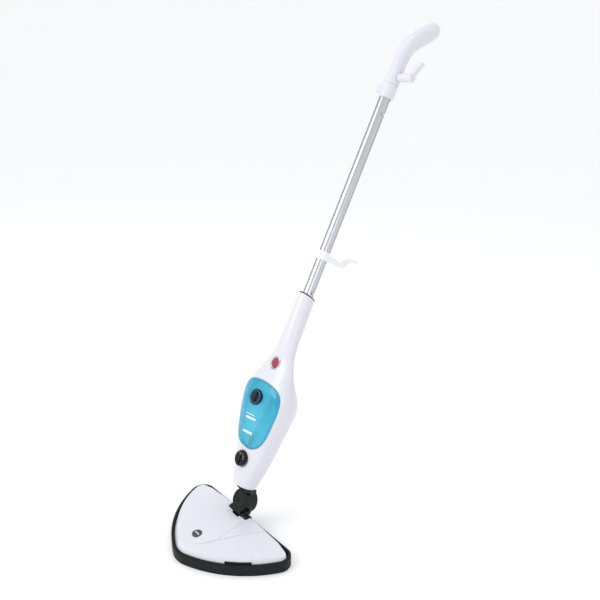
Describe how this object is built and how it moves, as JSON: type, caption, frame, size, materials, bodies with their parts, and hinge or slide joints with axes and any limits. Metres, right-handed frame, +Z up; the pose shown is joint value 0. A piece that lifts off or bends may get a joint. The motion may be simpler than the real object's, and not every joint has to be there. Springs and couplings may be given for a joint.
{
  "type": "steam mop",
  "caption": "Upright steam mop: flat triangular head on a two-axis swivel, teardrop casing with clear tank, round tube, cord hooks and bent grip.",
  "frame": {"origin": "centre of the head's flat underside, on the floor", "axes": "+X right, -Y front (pointed end of the head), +Z up"},
  "size_m": [0.316, 0.6719, 0.9919],
  "materials": {
    "casing_white": "gloss",
    "black_plastic": "satin",
    "tray_black": "satin",
    "badge_grey": "satin",
    "badge_light": "gloss",
    "hook_fabric": "hook pile",
    "screw_steel": "satin",
    "washer_white": "satin",
    "seal_rubber": "matt",
    "tank_blue": "tinted clear plastic",
    "cap_navy": "satin",
    "filter_brass": "sintered",
    "valve_brass": "machined",
    "boiler_alloy": "cast",
    "hose_silicone": "matt",
    "clear_hose": "clear",
    "heater_steel": "sheathed",
    "board_green": "matt",
    "bezel_chrome": "polished",
    "button_red": "gloss",
    "spring_steel": "bright",
    "tube_metal": "satin anodised"
  },
  "bodies": {
    "head": {"base_tray": "tray_black", "top_cover": "casing_white", "badge": "badge_grey", "badge_bar": "badge_light", "hook_strips": "hook_fabric", "head_screws": "screw_steel", "steam_distributor": "tray_black", "hinge_bracket": "black_plastic", "hinge_pin": "screw_steel", "pitch_washers": "washer_white"},
    "swivel_knuckle": {"knuckle": "black_plastic", "axle_cap": "black_plastic", "roll_axle": "screw_steel", "roll_seals": "seal_rubber"},
    "wand": {"swivel_stem": "black_plastic", "front_casing": "casing_white", "rear_casing": "casing_white", "water_tank": "tank_blue", "tank_filter": "filter_brass", "pickup_tube": "clear_hose", "steam_valve": "valve_brass", "boiler": "boiler_alloy", "heater_coil": "heater_steel", "thermostat": "heater_steel", "water_pump": "black_plastic", "supply_hose": "clear_hose", "pressure_hose": "hose_silicone", "steam_hose": "hose_silicone", "outlet_hose": "hose_silicone", "control_board": "board_green", "switch_bezel": "bezel_chrome", "button_spring": "spring_steel", "cord_inlet": "seal_rubber", "mouth_ring": "black_plastic", "tube_socket": "black_plastic", "tube": "tube_metal", "snap_leaves": "spring_steel", "cord_clip": "casing_white", "handle_collar": "casing_white", "handle_right": "casing_white", "handle_left": "casing_white", "handle_screws": "screw_steel", "casing_screws": "screw_steel", "hook_pivot": "screw_steel"},
    "cap": {"tank_cap": "cap_navy"},
    "knob": {"steam_knob": "black_plastic"},
    "button": {"power_button": "button_red"},
    "snap_lower": {"snap_low": "spring_steel"},
    "snap_upper": {"snap_high": "spring_steel"},
    "hook": {"cord_hook": "casing_white"},
    "tab": {"release_tab": "casing_white"}
  },
  "joints": [
    {"name": "pitch", "type": "hinge", "parent": "head", "child": "swivel_knuckle", "pos_m": [0, 0.066, 0.0375], "axis": [-1, 0, 0], "range_deg": [-25, 50]},
    {"name": "roll", "type": "hinge", "parent": "swivel_knuckle", "child": "wand", "pos_m": [0, 0.08253, 0.0612], "axis": [0, 0.8846, -0.4664], "range_deg": [-35, 35]},
    {"name": "cap_turn", "type": "hinge", "parent": "wand", "child": "cap", "pos_m": [0, 0.11204, 0.28869], "axis": [0, -0.8846, 0.4664], "range_deg": [0, 90]},
    {"name": "knob_turn", "type": "hinge", "parent": "wand", "child": "knob", "pos_m": [0, 0.07446, 0.16381], "axis": [0, -0.8846, 0.4664], "range_deg": [0, 270]},
    {"name": "button_press", "type": "slide", "parent": "wand", "child": "button", "axis": [0, 0.8846, -0.4664], "range_m": [0, 0.0025], "stiffness_N_per_m": 400, "springref_m": -0.001},
    {"name": "snap_lower_press", "type": "slide", "parent": "wand", "child": "snap_lower", "axis": [-1, 0, 0], "range_m": [0, 0.0026], "stiffness_N_per_m": 800, "springref_m": -0.001},
    {"name": "snap_upper_press", "type": "slide", "parent": "wand", "child": "snap_upper", "axis": [-1, 0, 0], "range_m": [0, 0.0026], "stiffness_N_per_m": 800, "springref_m": -0.001},
    {"name": "hook_turn", "type": "hinge", "parent": "wand", "child": "hook", "pos_m": [0.03, 0.46161, 0.88611], "axis": [1, 0, 0], "range_deg": [0, 180]},
    {"name": "tab_press", "type": "slide", "parent": "wand", "child": "tab", "axis": [1, 0, 0], "range_m": [0, 0.003], "stiffness_N_per_m": 600, "springref_m": -0.001}
  ]
}
